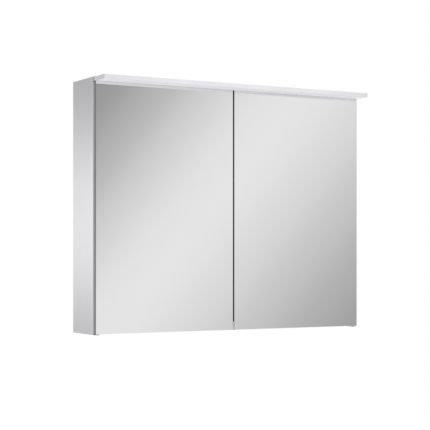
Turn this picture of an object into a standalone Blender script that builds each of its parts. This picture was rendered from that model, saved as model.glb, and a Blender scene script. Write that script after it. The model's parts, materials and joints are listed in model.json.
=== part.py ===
"""Wall-hung bathroom cabinet with two mirror doors and a light panel along its top front edge.

Units are metres. +X is to the right as seen from the front, +Y goes into the wall and +Z is up. The parts
are laid out from the middle of the cabinet's lower rear edge, and one parent empty then sets the origin on
the hanging rail, in the wall's plane. Each door's parts hang on an empty that stands on its pivot axis.
"""

from math import pi, radians

import bpy
from mathutils import Vector

# Driving dimensions
WIDTH = 0.800
HEIGHT = 0.650
BODY_DEPTH = 0.126
BOARD = 0.016
GAP = 0.0003  # between pieces that touch
SIDES = {"left": -1, "right": 1}

HALF = WIDTH / 2
INNER = HALF - BOARD
TOP_UNDERSIDE = HEIGHT - BOARD
BOTTOM_RISE = 0.0085  # the bottom board stands this far above the sides' ends, as a finger recess
BOTTOM_UPPER = BOTTOM_RISE + BOARD

# Back panel, in grooves, with a recess behind it for the hanging hardware
BACK = 0.003
RECESS = 0.015
GROOVE_DEPTH = 0.005
GROOVE_SLACK = 0.0003

# Rear rails, flush with the wall
RAIL_THICK = 0.012
HANG_HEIGHT = 0.600  # from the cabinet's lower end to the middle of the upper rail
RAIL_HALF = TOP_UNDERSIDE - GAP - HANG_HEIGHT
UPPER_RAIL_HALF_WIDTH = 0.340
LOWER_RAIL = 0.040

# Doors
DOOR_REVEAL = 0.002  # from the body's front edges to the doors' backs
DOOR = 0.014
DOOR_BACK = -BODY_DEPTH - DOOR_REVEAL
DOOR_FRONT = DOOR_BACK - DOOR
MEETING_GAP = 0.0035
DOOR_LOW = 0.003
DOOR_HIGH = 0.6362
FRAME_WALL = 0.0012
MIRROR = 0.004
MIRROR_LOW = 0.0020  # the glass covers the whole front and runs a little past the frame, top and bottom
MIRROR_HIGH = 0.6376
PIVOT_INSET = 0.005  # from the door's outer edge to the pivot axis
PIVOT_Y = DOOR_BACK - 0.0065
PIVOT_X = HALF - PIVOT_INSET

# Pivot hinges
PIN_R = 0.0015
BUSH_R = 0.0025
BUSH_BORE_R = 0.00165
BUSH_LENGTH = 0.012
BUSH_FLANGE_R = 0.0032
BUSH_FLANGE = 0.0005
BAR_WIDTH = 0.010
BAR_THICK = 0.0014
BAR_LOW = 0.0001
BAR_X = HALF - 0.007
BAR_FRONT = DOOR_FRONT + 0.0045
BAR_LENGTH = 0.055
SCREW_R = 0.0015
SCREW_HEAD_R = 0.0030
SCREW_HEAD = 0.0014
SCREW_LENGTH = 0.016
SCREW_YS = (-0.112, -0.094)

# Light panel
LIGHT_LOW = 0.638
LIGHT_HIGH = 0.649
LIGHT_FRONT = DOOR_FRONT - 0.051
LIGHT_WALL = 0.0012
LIGHT_RAIL_FRONT = -0.140
CAP = 0.0010
CAP_BACK = -0.1343
DIFFUSER = 0.003
LEAD_X = 0.215
LEAD_Z = 0.644
LEAD_R = 0.0015
LEAD_HOLE_R = 0.0024
LED_PITCH = 0.032
LED_COUNT = 24

# Shelves
SHELF = 0.005
SHELF_HEIGHTS = {"lower": 0.222, "upper": 0.428}  # undersides
SHELF_FRONT = -0.117
SHELF_BACK = -0.022
PIN_ROWS = (-0.100, -0.040)
SHELF_PIN_R = 0.0030
PEG_R = 0.0024
PEG_HOLE_R = 0.0028
PEG_DEPTH = 0.0080
HOLE_PITCH = 0.032

# Hangers
STEEL = 0.002
HANGER_HIGH = 0.632
HANGER_LOW = 0.578
HOOK_SEAT = 0.620  # underside of the hook's bend
HOOK_IN = 0.0107
HOOK_OUT = 0.0030

# Driver box and switch
BOX_LOW = Vector((0.190, -0.064, 0.588))
BOX_HIGH = Vector((0.372, -0.021, TOP_UNDERSIDE - GAP))
SWITCH_X = 0.330
SWITCH_Z = 0.611
SWITCH_WIDTH = 0.013
SWITCH_HEIGHT = 0.021
SWITCH_PIVOT_Y = BOX_LOW.y + 0.001
GLAND = Vector((0.280, 0.0, 0.611))


def start_scene():
    """Clears the scene and makes the two collections."""
    for old in list(bpy.data.objects):
        bpy.data.objects.remove(old)
    found = []
    for name in ("mirror_cabinet", "cutters"):
        collection = bpy.data.collections.new(name)
        bpy.context.scene.collection.children.link(collection)
        found.append(collection)
    return found


PARTS, CUTTERS = start_scene()
ANCHORS = {}


def make_anchor(name, at, parent=None):
    """An empty that pieces are parented to. at is in the cabinet's layout."""
    empty = bpy.data.objects.new(name, None)
    PARTS.objects.link(empty)
    ANCHORS[name] = Vector(at)
    if parent:
        empty.parent = bpy.data.objects[parent]
        empty.location = Vector(at) - ANCHORS[parent]
    return empty


def make_material(name, colour, roughness, metallic=0.0):
    material = bpy.data.materials.new(name)
    material.use_nodes = True
    shader = material.node_tree.nodes["Principled BSDF"]
    shader.inputs["Base Color"].default_value = (*colour, 1)
    shader.inputs["Roughness"].default_value = roughness
    shader.inputs["Metallic"].default_value = metallic
    return material


MATERIALS = {
    name: make_material(name, *values)
    for name, values in {
        "carcass_laminate": ((0.78, 0.78, 0.79), 0.35),
        "back_board": ((0.82, 0.82, 0.82), 0.5),
        "rail_board": ((0.70, 0.62, 0.50), 0.7),
        "door_frame_grey": ((0.26, 0.26, 0.28), 0.4, 0.6),
        "door_board": ((0.82, 0.82, 0.83), 0.4),
        "mirror_glass": ((0.92, 0.92, 0.93), 0.02, 1.0),
        "shelf_glass": ((0.80, 0.88, 0.86), 0.03),
        "polished_steel": ((0.70, 0.70, 0.72), 0.2, 1.0),
        "zinc_steel": ((0.56, 0.57, 0.60), 0.35, 1.0),
        "dark_steel": ((0.16, 0.16, 0.18), 0.45, 0.6),
        "black_rubber": ((0.03, 0.03, 0.03), 0.7),
        "clear_buffer": ((0.72, 0.72, 0.73), 0.4),
        "nylon": ((0.85, 0.85, 0.82), 0.5),
        "catch_plastic": ((0.75, 0.75, 0.76), 0.45),
        "light_cover": ((0.86, 0.86, 0.90), 0.35),
        "light_rail_grey": ((0.45, 0.45, 0.47), 0.4, 0.7),
        "opal_acrylic": ((0.86, 0.86, 0.92), 0.3),
        "led_board_white": ((0.88, 0.88, 0.84), 0.5),
        "driver_plastic": ((0.86, 0.86, 0.86), 0.45),
        "switch_plastic": ((0.90, 0.90, 0.90), 0.25),
        "lead_sheath": ((0.80, 0.80, 0.80), 0.5),
    }.items()
}


def place(obj, centre, anchor, material=None):
    """Links an object to its collection and hangs it on an anchor, centred at a point of the layout."""
    (CUTTERS if material is None else PARTS).objects.link(obj)
    obj.parent = bpy.data.objects[anchor]
    obj.location = Vector(centre) - ANCHORS[anchor]
    if material is None:
        obj.hide_render = True
        obj.display_type = "WIRE"
    else:
        obj.data.materials.append(MATERIALS[material])
    return obj


def take_new_object(name):
    """The primitive that was just added, renamed and unlinked from the scene's own collection."""
    obj = bpy.context.object
    obj.name = name
    obj.data.name = name
    for collection in list(obj.users_collection):
        collection.objects.unlink(obj)
    return obj


def box(name, low, high, material=None, anchor="cabinet", bevel=0.0):
    """A block between two corners of the layout. With no material it is a cutter."""
    low, high = Vector(low), Vector(high)
    bpy.ops.mesh.primitive_cube_add(size=1)
    obj = take_new_object(name)
    for vertex in obj.data.vertices:
        vertex.co *= high - low
    place(obj, (low + high) / 2, anchor, material)
    if bevel:
        round_edges(obj, bevel)
    return obj


def round_edges(obj, width, segments=1):
    modifier = obj.modifiers.new("edge", "BEVEL")
    modifier.width = width
    modifier.segments = segments
    modifier.limit_method = "ANGLE"
    modifier.angle_limit = radians(40)


def mirrored_box(name, low, high, side, material=None, anchor="cabinet", bevel=0.0):
    """A block given for the right-hand half. side is -1 for the left half, 1 for the right."""
    xs = sorted((low[0] * side, high[0] * side))
    return box(name, (xs[0], low[1], low[2]), (xs[1], high[1], high[2]), material, anchor, bevel)


def cylinder(name, centre, radius, length, axis="Z", anchor="cabinet", material=None, vertices=16):
    """A round cutter or peg about an axis of the layout."""
    bpy.ops.mesh.primitive_cylinder_add(radius=radius, depth=length, vertices=vertices)
    obj = take_new_object(name)
    turns = {"X": (0, pi / 2, 0), "Y": (pi / 2, 0, 0), "Z": (0, 0, 0)}
    obj.rotation_euler = turns[axis]
    return place(obj, centre, anchor, material)


def turned(name, profile, base, material, axis="Z", flip=False, anchor="cabinet", steps=16):
    """A turned piece. profile runs (radius, height) down the outer side and back up a bore, if it has one."""
    mesh = bpy.data.meshes.new(name)
    points = [(radius, 0, height) for radius, height in profile]
    closed = profile[0][0] > 0
    edges = [(i, i + 1) for i in range(len(points) - 1)]
    if closed:
        edges.append((len(points) - 1, 0))
    mesh.from_pydata(points, edges, [])
    obj = bpy.data.objects.new(name, mesh)
    screw = obj.modifiers.new("turn", "SCREW")
    screw.steps = screw.render_steps = steps
    screw.use_merge_vertices = True
    screw.merge_threshold = 0.00001
    half_turn = pi if flip else 0
    obj.rotation_euler = {
        "Z": (half_turn, 0, 0),
        "X": (0, pi / 2 + half_turn, 0),
        "Y": (pi / 2 + half_turn, 0, 0),
    }[axis]
    return place(obj, base, anchor, material)


def cut(obj, *cutters):
    for cutter in cutters:
        modifier = obj.modifiers.new("cut_" + cutter.name, "BOOLEAN")
        modifier.operation = "DIFFERENCE"
        modifier.object = cutter


def join(obj, *others):
    for other in others:
        modifier = obj.modifiers.new("join_" + other.name, "BOOLEAN")
        modifier.operation = "UNION"
        modifier.object = other


def groove(name, low, high):
    """Cutter of the back panel's groove, as wide as the panel and its slack."""
    return box(
        name,
        (low[0], -RECESS - BACK - GROOVE_SLACK, low[1]),
        (high[0], -RECESS + GROOVE_SLACK, high[1]),
    )


def make_side_panel(label, side):
    panel = mirrored_box(
        f"{label}_side_panel",
        (INNER, -BODY_DEPTH, 0),
        (HALF, 0, HEIGHT),
        side,
        "carcass_laminate",
        bevel=0.0004,
    )
    edges = sorted((side * (INNER - 0.002), side * (INNER + GROOVE_DEPTH)))
    groove_low = (edges[0], BOTTOM_UPPER - GROOVE_DEPTH)
    groove_high = (edges[1], TOP_UNDERSIDE + GROOVE_DEPTH)
    cut(panel, groove(f"{label}_groove", groove_low, groove_high))
    for shelf, height in SHELF_HEIGHTS.items():
        for row, y in enumerate(PIN_ROWS):
            for step in (-1, 0, 1):
                z = height - GAP - SHELF_PIN_R + step * HOLE_PITCH
                reach = PEG_DEPTH + 0.0005
                hole = cylinder(
                    f"{label}_{shelf}_hole_{row}_{step + 1}",
                    (side * (INNER + reach / 2 - 0.001), y, z),
                    PEG_HOLE_R,
                    reach + 0.002,
                    "X",
                    vertices=10,
                )
                cut(panel, hole)
    slot = mirrored_box(
        f"{label}_bar_slot",
        (BAR_X - BAR_WIDTH / 2 - GAP, -BODY_DEPTH - 0.01, -0.01),
        (BAR_X + BAR_WIDTH / 2 + GAP, BAR_FRONT + BAR_LENGTH + GAP, BAR_LOW + BAR_THICK + GAP),
        side,
    )
    cut(panel, slot)
    for index, y in enumerate(SCREW_YS):
        depth = SCREW_LENGTH + 0.002
        hole = cylinder(
            f"{label}_bar_hole_{index}", (side * BAR_X, y, depth / 2), SCREW_R + GAP, depth, vertices=10
        )
        cut(panel, hole)


def make_boards():
    across = INNER - GAP
    top = box(
        "top_board",
        (-across, -BODY_DEPTH, TOP_UNDERSIDE),
        (across, 0, HEIGHT),
        "carcass_laminate",
        bevel=0.0004,
    )
    cut(top, groove("top_groove", (-HALF, TOP_UNDERSIDE - 0.002), (HALF, TOP_UNDERSIDE + GROOVE_DEPTH)))
    channel_floor = LEAD_Z - LEAD_HOLE_R
    cut(
        top,
        box(
            "lead_channel",
            (LEAD_X - LEAD_HOLE_R, -BODY_DEPTH - 0.01, channel_floor),
            (LEAD_X + LEAD_HOLE_R, -0.092, LEAD_Z + LEAD_HOLE_R),
        ),
        box(
            "lead_shaft",
            (LEAD_X - LEAD_HOLE_R + 0.0001, -0.1045, TOP_UNDERSIDE - 0.01),
            (LEAD_X + LEAD_HOLE_R - 0.0001, -0.0921, LEAD_Z + LEAD_HOLE_R - 0.0001),
        ),
    )
    bottom = box(
        "bottom_board",
        (-across, -BODY_DEPTH, BOTTOM_RISE),
        (across, 0, BOTTOM_UPPER),
        "carcass_laminate",
        bevel=0.0004,
    )
    cut(bottom, groove("bottom_groove", (-HALF, BOTTOM_UPPER - GROOVE_DEPTH), (HALF, BOTTOM_UPPER + 0.002)))
    tongue = GROOVE_DEPTH - GAP
    back = box(
        "back_panel",
        (-INNER - tongue, -RECESS - BACK, BOTTOM_UPPER - tongue),
        (INNER + tongue, -RECESS, TOP_UNDERSIDE + tongue),
        "back_board",
    )
    cut(back, cylinder("gland_hole", (GLAND.x, -RECESS, GLAND.z), 0.0093, 0.02, "Y", vertices=20))


def make_rails():
    upper = box(
        "upper_rear_rail",
        (-UPPER_RAIL_HALF_WIDTH, -RAIL_THICK, HANG_HEIGHT - RAIL_HALF),
        (UPPER_RAIL_HALF_WIDTH, 0, HANG_HEIGHT + RAIL_HALF),
        "rail_board",
    )
    # The notch lets the mains cable up to its gland.
    cut(upper, box("cable_notch", (GLAND.x - 0.015, -0.02, 0.5), (GLAND.x + 0.015, 0.01, GLAND.z + 0.015)))
    low = BOTTOM_UPPER + GAP
    box(
        "lower_rear_rail",
        (-INNER + GAP, -RAIL_THICK, low),
        (INNER - GAP, 0, low + LOWER_RAIL),
        "rail_board",
    )


def make_hanger(label, side):
    """An angle bracket in the recess's upper corner, and the hook that slides on it to set the height."""
    outer = INNER - GAP
    leg = 0.0297
    bracket = mirrored_box(
        f"{label}_hanger_bracket",
        (outer - leg, -0.0140, HANGER_LOW),
        (outer, -0.0030, HANGER_HIGH),
        side,
        "zinc_steel",
    )
    inside = mirrored_box(
        f"{label}_angle_inside",
        (outer - 0.05, -0.0120, HANGER_LOW - 0.01),
        (outer - STEEL, 0.01, HANGER_HIGH + 0.01),
        side,
    )
    cut(bracket, inside)
    make_anchor(f"{label}_hook_slide", (side * 0.367, -0.0097, HOOK_SEAT), "cabinet")
    low_x, high_x, bend = 0.356, 0.378, HOOK_SEAT + STEEL
    hook = mirrored_box(
        f"{label}_hanger_hook",
        (low_x, -HOOK_IN, 0.586),
        (high_x, -HOOK_OUT, bend),
        side,
        "zinc_steel",
        f"{label}_hook_slide",
    )
    throat = mirrored_box(
        f"{label}_hook_throat",
        (low_x - 0.01, -HOOK_IN + STEEL, 0.5),
        (high_x + 0.01, -HOOK_OUT - STEEL, HOOK_SEAT),
        side,
        anchor=f"{label}_hook_slide",
    )
    lip_end = mirrored_box(
        f"{label}_hook_lip_end",
        (low_x - 0.01, -HOOK_IN + STEEL + 0.001, 0.5),
        (high_x + 0.01, 0.01, 0.607),
        side,
        anchor=f"{label}_hook_slide",
    )
    cut(hook, throat, lip_end)


def make_shelf(name, underside):
    edge = INNER - 0.0015
    box(
        f"{name}_glass_shelf",
        (-edge, SHELF_FRONT, underside),
        (edge, SHELF_BACK, underside + SHELF),
        "shelf_glass",
        bevel=0.0006,
    )
    peg, collar, seat = PEG_DEPTH, 0.0010, 0.0090
    profile = [
        (0, seat + collar),
        (SHELF_PIN_R - 0.0006, seat + collar),
        (SHELF_PIN_R, seat + collar - 0.0006),
        (SHELF_PIN_R, collar),
        (0.0045, collar),
        (0.0045, GAP),
        (PEG_R, GAP),
        (PEG_R, -peg + 0.0004),
        (PEG_R - 0.0004, -peg),
        (0, -peg),
    ]
    for label, side in SIDES.items():
        for row, y in zip(("front", "rear"), PIN_ROWS):
            turned(
                f"{name}_shelf_pin_{label}_{row}",
                [(r, h) for r, h in profile if not (r == 0.0045)],
                (side * INNER, y, underside - GAP - SHELF_PIN_R),
                "polished_steel",
                "X",
                flip=side > 0,
                steps=12,
            )


def make_door(label, side):
    """One door's pieces, all hung on the empty that stands on its pivot axis."""
    anchor = f"{label}_door_pivot"
    make_anchor(anchor, (side * PIVOT_X, PIVOT_Y, 0), "cabinet")
    near, far = MEETING_GAP / 2, HALF

    mirror_back = DOOR_FRONT + MIRROR
    frame_front = mirror_back + GAP
    frame = mirrored_box(
        f"{label}_door_frame",
        (near, frame_front, DOOR_LOW),
        (far, DOOR_BACK, DOOR_HIGH),
        side,
        "door_frame_grey",
        anchor,
    )
    inside_low = (near + FRAME_WALL, DOOR_LOW + FRAME_WALL)
    inside_high = (far - FRAME_WALL, DOOR_HIGH - FRAME_WALL)
    window = mirrored_box(
        f"{label}_frame_window",
        (inside_low[0], DOOR_FRONT - 0.01, inside_low[1]),
        (inside_high[0], DOOR_BACK + 0.01, inside_high[1]),
        side,
        anchor=anchor,
    )
    cut(frame, window)

    mirrored_box(
        f"{label}_door_mirror",
        (near, DOOR_FRONT, MIRROR_LOW),
        (far, mirror_back, MIRROR_HIGH),
        side,
        "mirror_glass",
        anchor,
        bevel=0.0005,
    )
    core = mirrored_box(
        f"{label}_door_core",
        (inside_low[0] + GAP, frame_front, inside_low[1] + GAP),
        (inside_high[0] - GAP, DOOR_BACK - GAP, inside_high[1] - GAP),
        side,
        "door_board",
        anchor,
    )

    for end, edge, up in (("lower", DOOR_LOW, 1), ("upper", DOOR_HIGH, -1)):
        at = (side * PIVOT_X, PIVOT_Y, edge)
        length = BUSH_LENGTH + 0.002
        pocket = cylinder(
            f"{label}_{end}_bush_pocket",
            (at[0], at[1], edge + up * (length / 2 - 0.001)),
            BUSH_R + GAP,
            length,
            anchor=anchor,
        )
        cut(frame, pocket)
        cut(core, pocket)
        head = -GAP - BUSH_FLANGE
        turned(
            f"{label}_{end}_pivot_bush",
            [
                (BUSH_R, BUSH_LENGTH - 0.002),
                (BUSH_R, -GAP),
                (BUSH_FLANGE_R, -GAP),
                (BUSH_FLANGE_R, head),
                (BUSH_BORE_R, head),
                (BUSH_BORE_R, BUSH_LENGTH - 0.002),
            ],
            at,
            "nylon",
            flip=up < 0,
            anchor=anchor,
            steps=24,
        )

    seal_out = near - GAP
    mirrored_box(
        f"{label}_door_seal",
        (seal_out - 0.0009, DOOR_FRONT + 0.0012, BOTTOM_UPPER),
        (seal_out, DOOR_BACK - 0.001, DOOR_HIGH - 0.0005),
        side,
        "black_rubber",
        anchor,
    )
    mirrored_box(
        f"{label}_door_buffer",
        (seal_out - 0.0012, DOOR_FRONT + 0.0005, DOOR_LOW + 0.0005),
        (seal_out, DOOR_BACK - 0.001, BOTTOM_UPPER - 0.0005),
        side,
        "clear_buffer",
        anchor,
    )
    mirrored_box(
        f"{label}_catch_strike",
        (0.006, DOOR_BACK + GAP, 0.6150),
        (0.024, DOOR_BACK + 0.0016, 0.6300),
        side,
        "zinc_steel",
        anchor,
        bevel=0.0003,
    )


def make_hinge(label, side):
    """The fixed half of a door's pivots: the bar in the side's lower end, its two screws, and both pins."""
    bar = mirrored_box(
        f"{label}_hinge_bar",
        (BAR_X - BAR_WIDTH / 2, BAR_FRONT, BAR_LOW),
        (BAR_X + BAR_WIDTH / 2, BAR_FRONT + BAR_LENGTH, BAR_LOW + BAR_THICK),
        side,
        "dark_steel",
    )
    middle = BAR_LOW + BAR_THICK / 2
    pin_foot = BAR_LOW + 0.0002
    cut(bar, cylinder(f"{label}_pin_seat", (side * PIVOT_X, PIVOT_Y, middle), PIN_R + GAP, 0.01))
    for index, y in enumerate(SCREW_YS):
        seat = cylinder(f"{label}_screw_seat_{index}", (side * BAR_X, y, middle), SCREW_HEAD_R + GAP, 0.01)
        cut(bar, seat)
        turned(
            f"{label}_hinge_screw_{index + 1}",
            [
                (0, SCREW_LENGTH),
                (SCREW_R * 0.3, SCREW_LENGTH),
                (SCREW_R, SCREW_LENGTH - 0.003),
                (SCREW_R, SCREW_HEAD + 0.0006),
                (SCREW_R + 0.0002, SCREW_HEAD),
                (SCREW_HEAD_R, 0.0004),
                (SCREW_HEAD_R, 0.0),
                (0.0011, 0.0),
                (0, 0.0009),
            ],
            (side * BAR_X, y, BAR_LOW),
            "polished_steel",
            steps=12,
        )
    pin_profile = [(0, 0.0120), (PIN_R - 0.0004, 0.0120), (PIN_R, 0.0116), (PIN_R, 0.0), (0, 0.0)]
    turned(
        f"{label}_lower_pivot_pin",
        pin_profile,
        (side * PIVOT_X, PIVOT_Y, pin_foot),
        "polished_steel",
        steps=16,
    )
    turned(
        f"{label}_upper_pivot_pin",
        [(radius, height * 1.6) for radius, height in pin_profile],
        (side * PIVOT_X, PIVOT_Y, LIGHT_LOW + 0.0078),
        "polished_steel",
        flip=True,
        steps=16,
    )


def make_catch():
    """One double magnetic catch under the top board, for both doors."""
    box(
        "magnetic_catch",
        (-0.028, -BODY_DEPTH + 0.0003, 0.6150),
        (0.028, -BODY_DEPTH + 0.0180, TOP_UNDERSIDE - GAP),
        "catch_plastic",
        bevel=0.0008,
    )


def make_light():
    rail = box(
        "light_rail",
        (-HALF, LIGHT_RAIL_FRONT, LIGHT_LOW + GAP),
        (HALF, -BODY_DEPTH - GAP, HEIGHT - GAP),
        "light_rail_grey",
    )
    housing_end = HALF - CAP - GAP
    housing = box(
        "light_housing",
        (-housing_end, LIGHT_FRONT, LIGHT_LOW),
        (housing_end, LIGHT_RAIL_FRONT - GAP, LIGHT_HIGH),
        "light_cover",
    )
    hollow_back = LIGHT_RAIL_FRONT - GAP - LIGHT_WALL
    hollow = box(
        "light_hollow",
        (-HALF, LIGHT_FRONT + LIGHT_WALL, LIGHT_LOW - 0.01),
        (HALF, hollow_back, LIGHT_HIGH - LIGHT_WALL),
    )
    lead_hole = cylinder("light_lead_hole", (LEAD_X, -0.134, LEAD_Z), LEAD_HOLE_R, 0.03, "Y")
    cut(housing, hollow, lead_hole)
    cut(rail, lead_hole)
    box(
        "light_diffuser",
        (-housing_end, LIGHT_FRONT + LIGHT_WALL + GAP, LIGHT_LOW),
        (housing_end, hollow_back - GAP, LIGHT_LOW + DIFFUSER),
        "opal_acrylic",
    )
    for label, side in SIDES.items():
        notch = mirrored_box(
            f"{label}_rail_notch",
            (housing_end, -0.2, LIGHT_LOW - 0.01),
            (HALF + 0.01, CAP_BACK, HEIGHT + 0.01),
            side,
        )
        seat = cylinder(
            f"{label}_upper_pin_seat", (side * PIVOT_X, PIVOT_Y, LIGHT_LOW), PIN_R + GAP, 0.0164
        )
        cut(rail, notch, seat)
        cap = mirrored_box(
            f"{label}_light_cap",
            (HALF - CAP, LIGHT_FRONT, LIGHT_LOW),
            (HALF, CAP_BACK - GAP, LIGHT_HIGH),
            side,
            "light_cover",
        )
        plug = mirrored_box(
            f"{label}_cap_plug",
            (HALF - 0.005, LIGHT_FRONT + LIGHT_WALL + 0.0005, LIGHT_LOW + DIFFUSER + 0.0005),
            (HALF - CAP / 2, hollow_back - 0.0005, LIGHT_HIGH - LIGHT_WALL - 0.0005),
            side,
        )
        join(cap, plug)
    make_led_board(LIGHT_HIGH - LIGHT_WALL - GAP)


def make_led_board(board_top):
    """The circuit board under the housing's roof, with its row of emitters."""
    board_under = board_top - 0.0012
    middle_y = (LIGHT_FRONT + LIGHT_RAIL_FRONT) / 2
    board = box(
        "led_board",
        (-0.390, middle_y - 0.005, board_under),
        (0.390, middle_y + 0.005, board_top),
        "led_board_white",
    )
    for index in range(LED_COUNT):
        x = (index - (LED_COUNT - 1) / 2) * LED_PITCH
        emitter = box(
            f"led_{index}",
            (x - 0.0025, middle_y - 0.0018, board_under - 0.0008),
            (x + 0.0025, middle_y + 0.0018, board_top - 0.0004),
        )
        join(board, emitter)


def make_driver():
    """The box under the top board that holds the light's driver, its rocker switch and the mains gland."""
    case = box("driver_box", BOX_LOW, BOX_HIGH, "driver_plastic", bevel=0.0015)
    half_w, half_h = SWITCH_WIDTH / 2, SWITCH_HEIGHT / 2
    pocket = box(
        "switch_pocket",
        (SWITCH_X - half_w - 0.0005, BOX_LOW.y - 0.01, SWITCH_Z - half_h - 0.0006),
        (SWITCH_X + half_w + 0.0005, BOX_LOW.y + 0.008, SWITCH_Z + half_h + 0.0006),
    )
    cut(case, pocket)

    make_anchor("switch_axis", (SWITCH_X, SWITCH_PIVOT_Y, SWITCH_Z), "cabinet")
    curve = bpy.data.curves.new("switch_rocker", "CURVE")
    curve.dimensions = "2D"
    curve.fill_mode = "BOTH"
    curve.extrude = half_w
    outline = [
        (half_h - 0.0006, -0.0038),
        (half_h - 0.0004, 0.0030),
        (0, 0.0012),
        (-half_h + 0.0004, 0.0030),
        (-half_h + 0.0006, -0.0038),
        (0, -0.0052),
    ]
    spline = curve.splines.new("POLY")
    spline.points.add(len(outline) - 1)
    for point, (along, out) in zip(spline.points, outline):
        point.co = (along, out, 0, 1)
    spline.use_cyclic_u = True
    rocker = bpy.data.objects.new("switch_rocker", curve)
    # The outline's first direction stands along Z, its second looks out of the box, its depth is along X.
    rocker.rotation_euler = (pi, -pi / 2, 0)
    place(rocker, (SWITCH_X, SWITCH_PIVOT_Y, SWITCH_Z), "switch_axis", "switch_plastic")

    turned(
        "mains_gland",
        [
            (0.0090, 0.0035),
            (0.0090, -0.0003),
            (0.0115, -0.0003),
            (0.0115, -0.0020),
            (0.0040, -0.0020),
            (0.0040, 0.0035),
        ],
        (GLAND.x, -RECESS, GLAND.z),
        "black_rubber",
        "Y",
        steps=20,
    )


def make_lead():
    """The low-voltage lead from the driver box, up through the top board and forward into the light."""
    route = [
        (-0.0643, 0.6280),
        (-0.0700, 0.6280),
        (-0.0800, 0.6270),
        (-0.0880, 0.6268),
        (-0.0935, 0.6290),
        (-0.0958, 0.6335),
        (-0.0963, 0.6380),
        (-0.0985, 0.6420),
        (-0.1030, LEAD_Z),
        (-0.1200, LEAD_Z),
        (-0.1500, LEAD_Z),
    ]
    guide = [Vector((LEAD_X, y, z)) for y, z in route]
    curve = bpy.data.curves.new("led_lead", "CURVE")
    curve.dimensions = "3D"
    curve.bevel_depth = LEAD_R
    curve.bevel_resolution = 2
    curve.use_fill_caps = True
    points = smooth_line(guide, 3)
    spline = curve.splines.new("POLY")
    spline.points.add(len(points) - 1)
    for target, point in zip(spline.points, points):
        target.co = (*point, 1)
    place(bpy.data.objects.new("led_lead", curve), (0, 0, 0), "cabinet", "lead_sheath")


def smooth_line(points, steps):
    """Points read from the Catmull-Rom curve through the given ones."""
    ends = [points[0] * 2 - points[1], *points, points[-1] * 2 - points[-2]]
    found = []
    for a, b, c, d in zip(ends, ends[1:], ends[2:], ends[3:]):
        for step in range(steps):
            t = step / steps
            squared = (2 * a - 5 * b + 4 * c - d) * t**2
            cubed = (3 * b - a - 3 * c + d) * t**3
            found.append(0.5 * (2 * b + (c - a) * t + squared + cubed))
    return [*found, points[-1]]


def main():
    make_anchor("cabinet", (0, 0, 0)).location = (0, 0, -HANG_HEIGHT)
    for label, side in SIDES.items():
        make_side_panel(label, side)
        make_hanger(label, side)
        make_door(label, side)
        make_hinge(label, side)
    make_boards()
    make_rails()
    for name, underside in SHELF_HEIGHTS.items():
        make_shelf(name, underside)
    make_catch()
    make_light()
    make_driver()
    make_lead()


main()
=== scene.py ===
import json
from math import cos, pi, radians, sin

import bmesh
import bpy
from mathutils import Matrix, Vector


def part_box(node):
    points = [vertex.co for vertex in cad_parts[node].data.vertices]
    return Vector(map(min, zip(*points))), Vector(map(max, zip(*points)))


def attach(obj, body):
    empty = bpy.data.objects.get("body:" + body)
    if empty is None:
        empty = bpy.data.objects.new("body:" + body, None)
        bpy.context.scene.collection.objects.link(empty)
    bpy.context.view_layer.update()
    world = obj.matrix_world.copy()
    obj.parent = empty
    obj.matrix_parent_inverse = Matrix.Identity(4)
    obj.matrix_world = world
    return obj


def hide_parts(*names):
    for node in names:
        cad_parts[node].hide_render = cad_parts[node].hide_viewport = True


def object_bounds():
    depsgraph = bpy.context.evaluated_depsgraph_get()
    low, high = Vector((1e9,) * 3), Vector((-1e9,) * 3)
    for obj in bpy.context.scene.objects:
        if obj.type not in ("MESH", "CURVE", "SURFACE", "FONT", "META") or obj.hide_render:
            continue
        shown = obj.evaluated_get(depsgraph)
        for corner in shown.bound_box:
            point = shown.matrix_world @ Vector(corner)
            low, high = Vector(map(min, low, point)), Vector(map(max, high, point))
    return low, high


bl_info = {
    "name": "Mirror Cabinet",
    "version": (1, 0, 0),
    "blender": (4, 5, 0),
    "location": "3D View > Sidebar > Cabinet",
    "description": "Finishes a wall-hung cabinet with mirror doors and a light panel, in a studio",
    "category": "Object",
}

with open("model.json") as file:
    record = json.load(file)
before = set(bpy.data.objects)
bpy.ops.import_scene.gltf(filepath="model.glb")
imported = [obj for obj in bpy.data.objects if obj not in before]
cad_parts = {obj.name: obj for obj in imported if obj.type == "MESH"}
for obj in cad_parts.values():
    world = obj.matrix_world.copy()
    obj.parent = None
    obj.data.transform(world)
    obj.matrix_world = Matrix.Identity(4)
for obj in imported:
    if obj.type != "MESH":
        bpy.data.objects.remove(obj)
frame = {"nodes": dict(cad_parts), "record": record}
CAD_LOW, CAD_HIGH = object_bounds()
NODES = frame["nodes"]
SIDES = {"left": -1, "right": 1}

BODY_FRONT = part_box("left_side_panel")[0].y
FRAME_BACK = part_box("left_door_frame")[1].y
LIGHT_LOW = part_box("light_housing")[0].z
LED_PITCH = 0.032
CLEARANCE = 0.0001  # between the mirrors' upper edges and the light
MIRROR_BEVEL = 0.0007
SHELF_ROUND = 0.0012
TOUCH = 0.000001  # how far apart two places may be and still count as one

# Where the painted light and shade marks begin and end, in metres
GLOW_FROM, GLOW_TO = 0.006, 0.016  # painted light spill on the body's lacquer, from the body's front backwards
HIGHLIGHT_FROM, HIGHLIGHT_TO = 0.0021, 0.0015  # painted highlight on the door frames, from the frame's back forwards
RIM_SHADE_FROM, RIM_SHADE_TO = 0.0072, 0.0052  # painted shade on the mirrors, from the light downwards
END_SHADE = 0.14  # painted shade on the light's cover, from its ends inwards
TRACKS = 1900.0  # copper tracks on the LED board, in radians to the metre
ACROSS_LINES, ALONG_LINES = 2400.0, 9.0  # scales that draw a metal's grain out into lines


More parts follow.
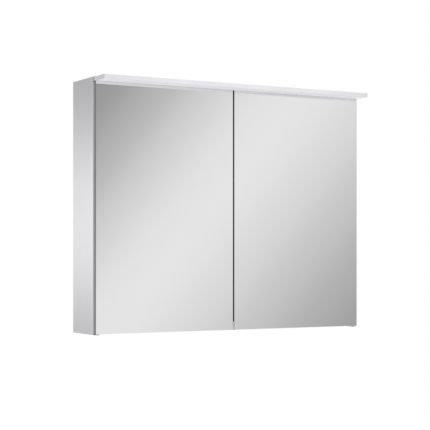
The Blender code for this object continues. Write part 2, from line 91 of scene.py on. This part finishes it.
class Wire:
    """One output of a shader node. Arithmetic on it adds Math nodes to its graph."""

    def __init__(self, graph, socket):
        self.graph = graph
        self.socket = socket

    def __add__(self, other):
        return self.graph.math("ADD", self, other)

    def __sub__(self, other):
        return self.graph.math("SUBTRACT", self, other)

    def __rsub__(self, other):
        return self.graph.math("SUBTRACT", other, self)

    def __mul__(self, other):
        return self.graph.math("MULTIPLY", self, other)

    def __truediv__(self, other):
        return self.graph.math("DIVIDE", self, other)

    __radd__ = __add__
    __rmul__ = __mul__


class Graph:
    """The node tree of a material or a world."""

    def __init__(self, tree):
        self.tree = tree

    def add(self, kind, settings=None, values=None, output=0):
        """Adds a node. Settings come first, and then the values or wires of its sockets."""
        node = self.tree.nodes.new(kind)
        for name, value in (settings or {}).items():
            if name == "stops":
                set_stops(node.color_ramp, value)
            elif name == "interpolation":
                node.color_ramp.interpolation = value
            else:
                setattr(node, name, value)
        for key, value in (values or {}).items():
            self.feed(node.inputs[key], value)
        return Wire(self, node.outputs[output]) if node.outputs else None

    def feed(self, socket, value):
        if isinstance(value, Wire):
            self.tree.links.new(value.socket, socket)
        elif socket.type == "RGBA":
            socket.default_value = (*value, 1)
        else:
            socket.default_value = value

    def math(self, operation, *values):
        return self.add("ShaderNodeMath", {"operation": operation}, dict(enumerate(values)))

    def place(self):
        """Where a point is, in metres, in the object's own space."""
        return self.add("ShaderNodeTexCoord", output="Object")

    def along(self, axis, vector=None):
        """One coordinate of a vector, or of a point's place."""
        return self.add("ShaderNodeSeparateXYZ", values={0: vector or self.place()}, output=axis)

    def stretch(self, scale):
        return self.add("ShaderNodeMapping", values={"Vector": self.place(), "Scale": scale})

    def noise(self, scale, detail=2.0, roughness=0.5, place=None):
        place = place or self.place()
        values = {"Vector": place, "Scale": scale, "Detail": detail, "Roughness": roughness}
        return self.add("ShaderNodeTexNoise", values=values)

    def mix(self, amount, first, second):
        return self.add("ShaderNodeMix", {"data_type": "RGBA"}, {0: amount, 6: first, 7: second}, output=2)

    def between(self, value, low, high, to_low=0.0, to_high=1.0):
        """Maps a range onto another, without passing its ends."""
        values = {"Value": value, "From Min": low, "From Max": high, "To Min": to_low, "To Max": to_high}
        return self.add("ShaderNodeMapRange", values=values)

    def bump(self, height, distance):
        return self.add("ShaderNodeBump", values={"Height": height, "Distance": distance})

    def patches(self, place, scale):
        """A random grey for each cell of a pattern of irregular cells."""
        cells = self.add("ShaderNodeTexVoronoi", values={"Vector": place, "Scale": scale}, output="Color")
        return self.add("ShaderNodeRGBToBW", values={"Color": cells})


def set_stops(ramp, stops):
    while len(ramp.elements) < len(stops):
        ramp.elements.new(0.5)
    for element, (position, level) in zip(ramp.elements, stops):
        element.position = position
        element.color = (level, level, level, 1) if isinstance(level, float) else (*level, 1)


def principled(name, build):
    """Makes a material. build is given its graph and returns the values of the shader's sockets."""
    material = bpy.data.materials.new(name)
    material.use_nodes = True
    tree = material.node_tree
    graph = Graph(tree)
    shader = tree.nodes["Principled BSDF"]
    for key, value in build(graph).items():
        graph.feed(shader.inputs[key], value)
    return material


def shade(colour, factor):
    return tuple(min(1.0, part * factor) for part in colour)


def lacquer(graph, colour, metallic, roughness):
    """Sprayed silver-grey lacquer: a fine pearl, a slight orange peel and broad, faint clouds."""
    clouds = graph.between(graph.noise(4.0, 3.0), 0.3, 0.7)
    pearl = graph.between(graph.noise(2600.0, 1.0), 0.35, 0.65)
    base = graph.mix(clouds, shade(colour, 0.975), shade(colour, 1.02))
    base = graph.mix(pearl * 0.5, base, shade(colour, 1.10))
    peel = graph.noise(420.0, 2.0, 0.4)
    return {
        "Base Color": base,
        "Metallic": metallic,
        "Roughness": roughness - 0.03 + graph.noise(60.0, 3.0) * 0.06,
        "Normal": graph.bump(peel, 0.00004),
    }


def moulded(graph, colour, roughness, grain=900.0, depth=0.00006):
    """Moulded plastic with a fine spark-eroded grain."""
    grains = graph.noise(grain, 2.0, 0.6)
    tone = graph.between(graph.noise(14.0, 3.0), 0.3, 0.7)
    return {
        "Base Color": graph.mix(tone, shade(colour, 0.965), shade(colour, 1.02)),
        "Roughness": graph.between(grains, 0.3, 0.7, roughness - 0.06, roughness + 0.08),
        "Normal": graph.bump(grains, depth),
    }


def lacquer_with_painted_glow(graph, colour, painted_glow_colour):
    """The body's lacquer with painted light: a lighter, lavender band beside the doors stands in for the
    light panel's spill.
    """
    values = lacquer(graph, colour, 0.85, 0.41)
    # Painted light: a lighter band of lacquer just behind the body's front edge.
    painted_glow_mask = graph.between(graph.along("Y"), BODY_FRONT + GLOW_FROM, BODY_FRONT + GLOW_TO, 1.0, 0.0)
    values["Base Color"] = graph.mix(painted_glow_mask, values["Base Color"], painted_glow_colour)
    return values


def drawn_metal(graph, colour, roughness):
    """Extruded metal, with die lines along its length, from side to side of the cabinet."""
    lines = graph.noise(1.0, 3.0, 0.6, graph.stretch((ALONG_LINES, ACROSS_LINES, ACROSS_LINES)))
    tone = graph.between(lines, 0.3, 0.7)
    return {
        "Base Color": graph.mix(tone, shade(colour, 0.93), shade(colour, 1.05)),
        "Metallic": 1.0,
        "Roughness": graph.between(lines, 0.3, 0.7, roughness - 0.05, roughness + 0.07),
        "Normal": graph.bump(lines, 0.00003),
    }


def anodised(graph, colour, roughness):
    """Dark satin metal, close to a dull paint, with faint upright lines."""
    lines = graph.noise(1.0, 3.0, 0.6, graph.stretch((ACROSS_LINES, ACROSS_LINES, ALONG_LINES)))
    return {
        "Base Color": graph.mix(graph.between(lines, 0.3, 0.7), shade(colour, 0.94), shade(colour, 1.05)),
        "Metallic": 0.12,
        "Roughness": graph.between(lines, 0.3, 0.7, roughness - 0.05, roughness + 0.07),
        "Normal": graph.bump(lines, 0.00002),
    }


def framed_metal_with_painted_highlight(graph, colour, edge):
    """The doors' dark satin metal, with a painted highlight: a light strip along its rear edge."""
    values = anodised(graph, colour, 0.5)
    # Painted highlight: a light strip along the frame's rear edge, standing in for light catching it.
    painted_highlight_mask = graph.between(graph.along("Y"), FRAME_BACK - HIGHLIGHT_FROM, FRAME_BACK - HIGHLIGHT_TO)
    values["Base Color"] = graph.mix(painted_highlight_mask, values["Base Color"], edge)
    return values


def ground_edge(graph, colour):
    """The rim of silvered glass: grey, with the grinding wheel's fine marks."""
    marks = graph.noise(1500.0, 2.0, 0.6)
    return {
        "Base Color": graph.mix(graph.between(marks, 0.3, 0.7), shade(colour, 0.93), shade(colour, 1.06)),
        "Roughness": graph.between(marks, 0.3, 0.7, 0.30, 0.42),
        "Normal": graph.bump(marks, 0.00002),
    }


def bright_metal(graph, colour, roughness):
    wear = graph.noise(240.0, 4.0, 0.6)
    return {
        "Base Color": graph.mix(graph.between(wear, 0.35, 0.7), colour, shade(colour, 0.9)),
        "Metallic": 1.0,
        "Roughness": graph.between(wear, 0.3, 0.75, roughness, roughness + 0.1),
    }


def zinc(graph, colour):
    """Zinc plate: faint spangles and a duller bloom."""
    spangle = graph.patches(graph.place(), 260.0)
    bloom = graph.between(graph.noise(90.0, 4.0), 0.35, 0.65)
    base = graph.mix(spangle, shade(colour, 0.88), shade(colour, 1.08))
    return {
        "Base Color": graph.mix(bloom * 0.4, base, (0.62, 0.62, 0.60)),
        "Metallic": 1.0,
        "Roughness": 0.28 + bloom * 0.16,
        "Normal": graph.bump(graph.noise(700.0, 2.0), 0.00002),
    }


def raw_board(graph, colour):
    """Cut chipboard: pressed flakes in several browns."""
    flakes = graph.patches(graph.stretch((260.0, 700.0, 480.0)), 1.0)
    dust = graph.noise(1500.0, 3.0, 0.7)
    base = graph.mix(flakes, shade(colour, 0.72), shade(colour, 1.15))
    return {
        "Base Color": graph.mix(dust * 0.3, base, shade(colour, 0.55)),
        "Roughness": 0.78,
        "Normal": graph.bump(flakes * 0.6 + dust * 0.4, 0.00025),
    }


def silvered_glass(graph, colour):
    """Mirror glass: even silver, painted shade in a band along its top under the light, and the least haze
    that cleaning leaves.
    """
    haze = graph.between(graph.noise(5.0, 4.0, 0.6), 0.35, 0.75)
    # Painted shade: the silver darkens in a band just below the light, standing in for the shade under it.
    rim = graph.between(graph.along("Z"), LIGHT_LOW - RIM_SHADE_FROM, LIGHT_LOW - RIM_SHADE_TO)
    silver = graph.mix(haze * 0.5, colour, shade(colour, 0.985))
    return {
        "Base Color": graph.mix(rim, silver, shade(colour, 0.87)),
        "Metallic": 1.0,
        "Roughness": haze * 0.012,
    }


def clear_glass(graph, colour):
    """Float glass, faintly green through its thickness."""
    smear = graph.between(graph.noise(18.0, 4.0, 0.6), 0.4, 0.8)
    return {
        "Base Color": graph.mix(smear * 0.3, colour, shade(colour, 0.97)),
        "Roughness": 0.015 + smear * 0.03,
        "Transmission Weight": 1.0,
        "IOR": 1.5,
    }


def opal(graph, colour, glow):
    """Lit opal acrylic, a little brighter under each emitter."""
    under_emitter = graph.math("PINGPONG", graph.along("X") / LED_PITCH, 0.5) * 2
    return {
        "Base Color": colour,
        "Roughness": graph.between(graph.noise(1400.0, 2.0), 0.3, 0.7, 0.28, 0.4),
        "Emission Color": graph.mix(under_emitter, shade(glow, 0.985), glow),
        "Emission Strength": 0.40,
        "Normal": graph.bump(graph.noise(1400.0, 2.0), 0.00003),
    }


def lit_cover(graph, colour, glow):
    """Lavender-white moulded cover that lets a little of its light through evenly, with painted shade
    darkening its colour towards its ends.
    """
    values = moulded(graph, colour, 0.36, 1200.0, 0.00002)
    # Painted shade: the cover's colour darkens towards both ends.
    from_middle = graph.math("ABSOLUTE", graph.along("X"))
    painted_end_shade = graph.between(from_middle, CAD_HIGH.x - END_SHADE, CAD_HIGH.x)
    values["Base Color"] = graph.mix(painted_end_shade, values["Base Color"], shade(colour, 0.90))
    values["Emission Color"] = glow
    values["Emission Strength"] = 0.05
    return values


def circuit_board(graph, colour):
    """White solder resist with copper tracks showing faintly through it."""
    track = graph.between(graph.math("SINE", graph.along("Y") * TRACKS), 0.2, 0.5)
    return {
        "Base Color": graph.mix(track * 0.5, colour, shade(colour, 0.84)),
        "Roughness": 0.34,
        "Normal": graph.bump(track, 0.00004),
    }


def rubber(graph, colour):
    bloom = graph.between(graph.noise(160.0, 4.0, 0.6), 0.4, 0.75)
    return {
        "Base Color": graph.mix(bloom * 0.3, colour, (0.09, 0.09, 0.09)),
        "Roughness": 0.62 + bloom * 0.2,
        "Normal": graph.bump(graph.noise(1100.0, 3.0), 0.00008),
    }


def swatch(label, words, default):
    """A colour that can be picked in the panel."""
    return bpy.props.FloatVectorProperty(
        name=label, description=words, default=default, size=3, min=0, max=1, subtype="COLOR"
    )


class CabinetFinish(bpy.types.PropertyGroup):
    """Colours of the cabinet's finishes."""

    lacquer: swatch("Lacquer", "Sides, top and bottom", (0.61, 0.61, 0.62))
    # Painted light: the lighter, lavender lacquer beside the doors stands in for the light panel's spill.
    lacquer_painted_glow: swatch("Lacquer by the doors", "The lacquer, tinted by the light", (0.65, 0.65, 0.69))
    back: swatch("Back panel", "Lacquered hardboard behind the shelves", (0.74, 0.74, 0.75))
    rail: swatch("Rear rails", "Raw chipboard behind the back panel", (0.62, 0.49, 0.34))
    door_frame: swatch("Door frame", "Thin metal frame round each mirror", (0.285, 0.285, 0.305))
    # Painted highlight: the light strip along the frame's rear edge stands in for light catching it.
    frame_painted_highlight: swatch("Frame edge", "Bare metal along the frame's rear edge", (0.76, 0.76, 0.80))
    door_back: swatch("Door back", "Inner face of the doors", (0.74, 0.74, 0.75))
    glass_edge: swatch("Glass edge", "Ground and polished rim of the mirrors", (0.172, 0.172, 0.188))
    dark_plate: swatch("Dark plate", "Pivot bars", (0.075, 0.075, 0.085))
    mirror: swatch("Mirror", "Silvered glass", (0.93, 0.93, 0.93))
    shelf: swatch("Shelf glass", "Clear shelves", (0.90, 0.965, 0.94))
    steel: swatch("Bright steel", "Pins and screws", (0.72, 0.72, 0.74))
    plate: swatch("Zinc plate", "Bars, hooks and strike plates", (0.60, 0.61, 0.64))
    light: swatch("Light housing", "Nearly white moulded cover", (0.755, 0.755, 0.785))
    light_rail: swatch("Light rail", "Grey channel behind the light", (0.50, 0.50, 0.53))
    diffuser: swatch("Diffuser", "Opal acrylic under the light", (0.46, 0.46, 0.50))
    glow: swatch("Glow", "Light that comes through the diffuser", (0.98, 0.97, 1.0))
    plastic: swatch("Plastic", "Driver box, catch and switch", (0.80, 0.80, 0.80))


class CabinetStudio(bpy.types.PropertyGroup):
    """The room round the cabinet."""

    camera_at: bpy.props.FloatVectorProperty(
        name="Camera",
        description="Where the camera stands",
        default=(-1.7462, -3.1278, -0.3942),
        subtype="TRANSLATION",
    )
    camera_turn: bpy.props.FloatProperty(
        name="Camera turn",
        description="Turn about the upright axis",
        default=radians(-29.494),
        subtype="ANGLE",
    )
    lens: bpy.props.FloatProperty(
        name="Lens", description="Focal length in millimetres", default=109.10, min=10
    )
    rise: bpy.props.FloatProperty(
        name="Rise", description="Upward shift of the lens", default=0.0888
    )
    sidestep: bpy.props.FloatProperty(
        name="Sidestep", description="Sideways shift of the lens", default=0.0004
    )
    floor_drop: bpy.props.FloatProperty(
        name="Floor drop",
        description="From the cabinet's lower end to the floor",
        default=1.35,
        unit="LENGTH",
    )
    floor_radius: bpy.props.FloatProperty(
        name="Floor radius", description="Radius of the pale floor", default=4.2, unit="LENGTH"
    )


MATERIALS = {}


def make_materials(finish):
    """One material for each finish, under the name of the record's slot."""
    builds = {
        "carcass_laminate": lambda g: lacquer_with_painted_glow(g, finish.lacquer, finish.lacquer_painted_glow),
        "back_board": lambda g: lacquer(g, finish.back, 0.0, 0.42),
        "rail_board": lambda g: raw_board(g, finish.rail),
        "door_frame_grey": lambda g: framed_metal_with_painted_highlight(g, finish.door_frame, finish.frame_painted_highlight),
        "glass_edge": lambda g: ground_edge(g, finish.glass_edge),
        "dark_steel": lambda g: anodised(g, finish.dark_plate, 0.45),
        "door_board": lambda g: lacquer(g, finish.door_back, 0.0, 0.4),
        "mirror_glass": lambda g: silvered_glass(g, finish.mirror),
        "shelf_glass": lambda g: clear_glass(g, finish.shelf),
        "polished_steel": lambda g: bright_metal(g, finish.steel, 0.16),
        "zinc_steel": lambda g: zinc(g, finish.plate),
        "black_rubber": lambda g: rubber(g, (0.028, 0.028, 0.030)),
        "clear_buffer": lambda g: moulded(g, (0.66, 0.66, 0.68), 0.4),
        "nylon": lambda g: moulded(g, (0.82, 0.82, 0.79), 0.5),
        "catch_plastic": lambda g: moulded(g, finish.plastic, 0.45),
        "light_cover": lambda g: lit_cover(g, finish.light, finish.glow),
        "light_rail_grey": lambda g: drawn_metal(g, finish.light_rail, 0.36),
        "opal_acrylic": lambda g: opal(g, finish.diffuser, finish.glow),
        "led_board_white": lambda g: circuit_board(g, (0.86, 0.86, 0.82)),
        "driver_plastic": lambda g: moulded(g, finish.plastic, 0.46),
        "switch_plastic": lambda g: moulded(g, (0.86, 0.86, 0.86), 0.22, 300.0, 0.00002),
        "lead_sheath": lambda g: moulded(g, (0.76, 0.76, 0.76), 0.46, 1200.0, 0.00003),
    }
    for name, build in builds.items():
        MATERIALS[name] = principled(name, build)


def slot_of(node):
    return next(part["material_slot"] for part in frame["record"]["subparts"] if part["node"] == node)


def finish_nodes(*words):
    """Gives every CAD node whose name holds one of the words its material."""
    for name, obj in NODES.items():
        if any(word in name for word in words):
            obj.data.materials.clear()
            obj.data.materials.append(MATERIALS[slot_of(name)])


def make_piece(name, shape, body, slot, replaced=(), trims=()):
    """Turns a bmesh into a piece that rides on a body and wears a slot's material, then any trims."""
    mesh = bpy.data.meshes.new(name)
    shape.to_mesh(mesh)
    shape.free()
    piece = bpy.data.objects.new(name, mesh)
    bpy.context.scene.collection.objects.link(piece)
    for finish in (slot, *trims):
        piece.data.materials.append(MATERIALS[finish])
    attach(piece, body)
    if replaced:
        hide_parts(*replaced)


def block(low, high, shape=None):
    """A box between two corners, in a new bmesh or beside what a given one holds."""
    low, high = Vector(low), Vector(high)
    shape = shape or bmesh.new()
    place = Matrix.Translation((low + high) / 2) @ Matrix.Diagonal((*(high - low), 1))
    bmesh.ops.create_cube(shape, size=1, matrix=place)
    return shape


def soften(shape, edges, offset, segments):
    bmesh.ops.bevel(
        shape,
        geom=edges,
        offset=offset,
        offset_type="OFFSET",
        segments=segments,
        profile=0.5,
        affect="EDGES",
        clamp_overlap=True,
        material=-1,
    )


class CABINET_OT_body(bpy.types.Operator):
    """Finish the sides, top, bottom, back and rear rails"""

    bl_idname = "cabinet.body"
    bl_label = "Body"

    def execute(self, context):
        finish_nodes("side_panel", "top_board", "bottom_board", "back_panel", "rear_rail")
        return {"FINISHED"}


class CABINET_OT_doors(bpy.types.Operator):
    """Make the mirrors and finish the doors' frames, cores, seals and strike plates"""

    bl_idname = "cabinet.doors"
    bl_label = "Doors"

    def execute(self, context):
        finish_nodes("door_frame", "door_core", "door_seal", "door_buffer", "catch_strike")
        for label in SIDES:
            node = f"{label}_door_mirror"
            low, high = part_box(node)
            high.z = LIGHT_LOW - CLEARANCE
            pane = block(low, high)
            front = [e for e in pane.edges if all(v.co.y < low.y + TOUCH for v in e.verts)]
            soften(pane, front, offset=MIRROR_BEVEL, segments=2)
            for face in pane.faces:
                silvered = face.normal.y < -0.1 and abs(face.normal.x) < 0.1
                face.material_index = 0 if silvered else 1
            body = f"{label}_door"
            make_piece(f"{label}_mirror_pane", pane, body, "mirror_glass", (node,), ("glass_edge",))
        return {"FINISHED"}


class CABINET_OT_pivots(bpy.types.Operator):
    """Finish the hinge bars, screws, pins and bushes"""

    bl_idname = "cabinet.pivots"
    bl_label = "Pivots"

    def execute(self, context):
        finish_nodes("hinge_bar", "hinge_screw", "pivot_pin", "pivot_bush")
        return {"FINISHED"}


class CABINET_OT_light(bpy.types.Operator):
    """Finish the light panel"""

    bl_idname = "cabinet.light"
    bl_label = "Light"

    def execute(self, context):
        finish_nodes("light_housing", "light_cap", "light_rail", "light_diffuser", "led_board", "led_lead")
        return {"FINISHED"}


class CABINET_OT_shelves(bpy.types.Operator):
    """Finish the glass shelves and their pins"""

    bl_idname = "cabinet.shelves"
    bl_label = "Shelves"

    def execute(self, context):
        finish_nodes("shelf_pin")
        for name in ("lower", "upper"):
            node = f"{name}_glass_shelf"
            low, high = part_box(node)
            pane = block(low, high)
            soften(pane, list(pane.edges), offset=SHELF_ROUND, segments=3)
            make_piece(f"{name}_shelf_pane", pane, "cabinet", "shelf_glass", (node,))
        return {"FINISHED"}


class CABINET_OT_hardware(bpy.types.Operator):
    """Finish the hangers, the catch, the driver box, its switch and the cable gland"""

    bl_idname = "cabinet.hardware"
    bl_label = "Hardware"

    def execute(self, context):
        finish_nodes("hanger", "magnetic_catch", "driver_box", "switch_rocker", "mains_gland")
        self.make_poles()
        self.make_cover()
        self.make_louvres()
        self.make_screws()
        self.make_bezel()
        return {"FINISHED"}

    def make_poles(self):
        """The catch's steel pole pieces, two to a door, just proud of its face."""
        inner, outer = 0.007, 0.023
        margin = 0.005
        thickness = 0.002
        proud, sunk = 0.00035, 0.0005
        low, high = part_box("magnetic_catch")
        poles = bmesh.new()
        for side in SIDES.values():
            left, right = sorted((side * inner, side * outer))
            for z in (low.z + margin, high.z - margin - thickness):
                block((left, low.y - proud, z), (right, low.y + sunk, z + thickness), poles)
        make_piece("catch_poles", poles, "cabinet", "polished_steel")

    def make_cover(self):
        """The driver box's screwed-on lower cover."""
        inset = 0.003
        proud, sunk = 0.0012, 0.0002
        low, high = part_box("driver_box")
        cover_low = (low.x + inset, low.y + inset, low.z - proud)
        cover_high = (high.x - inset, high.y - inset, low.z + sunk)
        cover = block(cover_low, cover_high)
        under = [e for e in cover.edges if all(v.co.z < low.z for v in e.verts)]
        soften(cover, under, offset=0.0006, segments=2)
        make_piece("driver_cover", cover, "cabinet", "driver_plastic")

    def make_louvres(self):
        """A row of upright cooling louvres on the driver box's front."""
        count = 14
        start = 0.018
        pitch = 0.0055
        width = 0.0026
        margin = 0.012
        proud, sunk = 0.0012, 0.0002
        low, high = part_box("driver_box")
        louvres = bmesh.new()
        for index in range(count):
            x = low.x + start + index * pitch
            block((x, low.y - proud, low.z + margin), (x + width, low.y + sunk, high.z - margin), louvres)
        soften(louvres, list(louvres.edges), offset=0.0005, segments=2)
        make_piece("driver_louvres", louvres, "cabinet", "driver_plastic")

    def make_screws(self):
        """The four countersunk heads that hold the driver box's cover."""
        inset = 0.010
        drop = 0.0014
        low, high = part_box("driver_box")
        screws = bmesh.new()
        for x in (low.x + inset, high.x - inset):
            for y in (low.y + inset, high.y - inset):
                bmesh.ops.create_cone(
                    screws,
                    cap_ends=True,
                    segments=24,
                    radius1=0.0022,
                    radius2=0.0028,
                    depth=0.0008,
                    matrix=Matrix.Translation((x, y, low.z - drop)),
                )
        make_piece("cover_screws", screws, "cabinet", "zinc_steel")

    def make_bezel(self):
        """The raised frame round the rocker switch: two uprights with a bar below and a bar above."""
        margin = 0.0012
        wall = 0.0016
        proud, sunk = 0.0009, 0.0003
        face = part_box("driver_box")[0].y
        low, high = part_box("switch_rocker")
        left, right = low.x - margin, high.x + margin
        bottom, top = low.z - margin, high.z + margin
        front, back = face - proud, face + sunk
        bezel = bmesh.new()
        for x in (left - wall, right):
            block((x, front, bottom - wall), (x + wall, back, top + wall), bezel)
        for z in (bottom - wall, top):
            block((left, front, z), (right, back, z + wall), bezel)
        make_piece("switch_bezel", bezel, "cabinet", "switch_plastic")


# Brightness at even steps across one band of the studio's walls, from one dark edge to the next.
BAND = (0.34, 0.315, 0.412, 0.588, 0.762, 0.836, 0.785, 0.669, 0.533, 0.415, 0.34)
BAND_WIDTH = 0.3345  # radians across
BAND_TILT = radians(38.5)
BAND_MIDDLE = radians(27.463)  # where a band's middle crosses the horizon, round from the front


def make_world():
    """Soft slanting bands of light all round, for the mirrors to show. The camera sees plain white."""
    world = bpy.data.worlds.new("studio")
    bpy.context.scene.world = world
    world.use_nodes = True
    tree = world.node_tree
    tree.nodes.clear()
    graph = Graph(tree)
    direction = graph.add("ShaderNodeTexCoord", output="Generated")
    x, y, z = (graph.along(axis, direction) for axis in "XYZ")
    round_about = graph.math("ARCTAN2", x, 0 - y)
    height = graph.math("ARCSINE", z)
    slant = (round_about - BAND_MIDDLE) * cos(BAND_TILT) - height * sin(BAND_TILT)
    across = graph.math("FRACT", slant / BAND_WIDTH + 0.5)
    stops = [(step / (len(BAND) - 1), level) for step, level in enumerate(BAND)]
    level = graph.add("ShaderNodeValToRGB", {"interpolation": "CARDINAL", "stops": stops}, {0: across})
    bands = graph.add("ShaderNodeBackground", values={"Color": level})
    white = graph.add("ShaderNodeBackground", values={"Color": (1.0, 1.0, 1.0)})
    seen = graph.add("ShaderNodeLightPath", output="Is Camera Ray")
    surface = graph.add("ShaderNodeMixShader", values={0: seen, 1: bands, 2: white})
    graph.add("ShaderNodeOutputWorld", values={"Surface": surface})


def make_softbox(name, at, towards, size, power, lit=None):
    """A soft lamp. It shows in the shine of the pieces that it alone lights, and otherwise in nothing."""
    data = bpy.data.lights.new(name, "AREA")
    data.shape = "RECTANGLE"
    data.size, data.size_y = size
    data.energy = power
    lamp = bpy.data.objects.new(name, data)
    lamp.location = at
    lamp.rotation_euler = (Vector(towards) - Vector(at)).to_track_quat("-Z", "Y").to_euler()
    lamp.visible_camera = False
    lamp.visible_glossy = lit is not None
    lamp.light_linking.receiver_collection = lit
    bpy.context.scene.collection.objects.link(lamp)


def make_floor(studio):
    """A pale disc that fades out at its edge and can't be seen from below."""
    shape = bmesh.new()
    bmesh.ops.create_circle(shape, cap_ends=True, segments=96, radius=studio.floor_radius)
    bmesh.ops.translate(shape, verts=shape.verts, vec=(0, 0, CAD_LOW.z - studio.floor_drop))
    mesh = bpy.data.meshes.new("floor")
    shape.to_mesh(mesh)
    shape.free()
    floor = bpy.data.objects.new("floor", mesh)
    bpy.context.scene.collection.objects.link(floor)

    def pale(graph):
        level = (1, 1, 0)
        flat = graph.add("ShaderNodeVectorMath", {"operation": "MULTIPLY"}, {0: graph.place(), 1: level})
        away = graph.add("ShaderNodeVectorMath", {"operation": "LENGTH"}, {0: flat}, output="Value")
        from_below = graph.add("ShaderNodeNewGeometry", output="Backfacing")
        fade = graph.between(away, studio.floor_radius * 0.45, studio.floor_radius * 0.98, 1.0, 0.0)
        return {
            "Base Color": (0.80, 0.80, 0.80),
            "Roughness": 0.9,
            "Emission Color": (1.0, 1.0, 1.0),
            "Emission Strength": 0.32,
            "Alpha": fade * (1 - from_below),
        }

    mesh.materials.append(principled("pale_floor", pale))


class CABINET_OT_stage(bpy.types.Operator):
    """Make the camera, the floor and the lights"""

    bl_idname = "cabinet.stage"
    bl_label = "Studio"

    def execute(self, context):
        studio = context.scene.cabinet_studio
        camera = bpy.data.objects.new("camera", bpy.data.cameras.new("camera"))
        camera.location = studio.camera_at
        camera.rotation_euler = (pi / 2, 0, studio.camera_turn)
        camera.data.sensor_width = 36
        camera.data.lens = studio.lens
        camera.data.shift_x = studio.sidestep
        camera.data.shift_y = studio.rise
        context.scene.collection.objects.link(camera)
        context.scene.camera = camera
        context.scene.view_settings.view_transform = "Standard"
        make_world()
        make_floor(studio)
        middle = (CAD_LOW + CAD_HIGH) / 2
        make_softbox("front_softbox", at=(-1.2, -4.5, 2.4), towards=middle, size=(3.0, 3.0), power=130)
        opaque = bpy.data.collections.new("opaque")
        for name, node in NODES.items():
            if "mirror" not in name and "glass" not in name:
                opaque.objects.link(node)
        make_softbox(
            "side_softbox",
            at=(-1.45, 1.55, -0.281),
            towards=(-0.4, -0.07, -0.311),
            size=(0.6, 0.66),
            power=2.79,
            lit=opaque,
        )
        return {"FINISHED"}


OPERATORS = (
    CABINET_OT_stage,
    CABINET_OT_body,
    CABINET_OT_doors,
    CABINET_OT_pivots,
    CABINET_OT_light,
    CABINET_OT_shelves,
    CABINET_OT_hardware,
)


class CABINET_PT_panel(bpy.types.Panel):
    """Lists the cabinet's pieces and finishes"""

    bl_label = "Mirror Cabinet"
    bl_space_type = "VIEW_3D"
    bl_region_type = "UI"
    bl_category = "Cabinet"

    def draw(self, context):
        for operator in OPERATORS:
            self.layout.operator(operator.bl_idname)
        for group in (context.scene.cabinet_finish, context.scene.cabinet_studio):
            for name in group.bl_rna.properties.keys():
                if name not in ("rna_type", "name"):
                    self.layout.prop(group, name)


CLASSES = (CabinetFinish, CabinetStudio, *OPERATORS, CABINET_PT_panel)


def register():
    for item in CLASSES:
        bpy.utils.register_class(item)
    bpy.types.Scene.cabinet_finish = bpy.props.PointerProperty(type=CabinetFinish)
    bpy.types.Scene.cabinet_studio = bpy.props.PointerProperty(type=CabinetStudio)


def unregister():
    del bpy.types.Scene.cabinet_studio
    del bpy.types.Scene.cabinet_finish
    for item in reversed(CLASSES):
        bpy.utils.unregister_class(item)


def main():
    register()
    make_materials(bpy.context.scene.cabinet_finish)
    for operator in OPERATORS:
        group, name = operator.bl_idname.split(".")
        getattr(getattr(bpy.ops, group), name)()


if __name__ == "__main__":
    main()
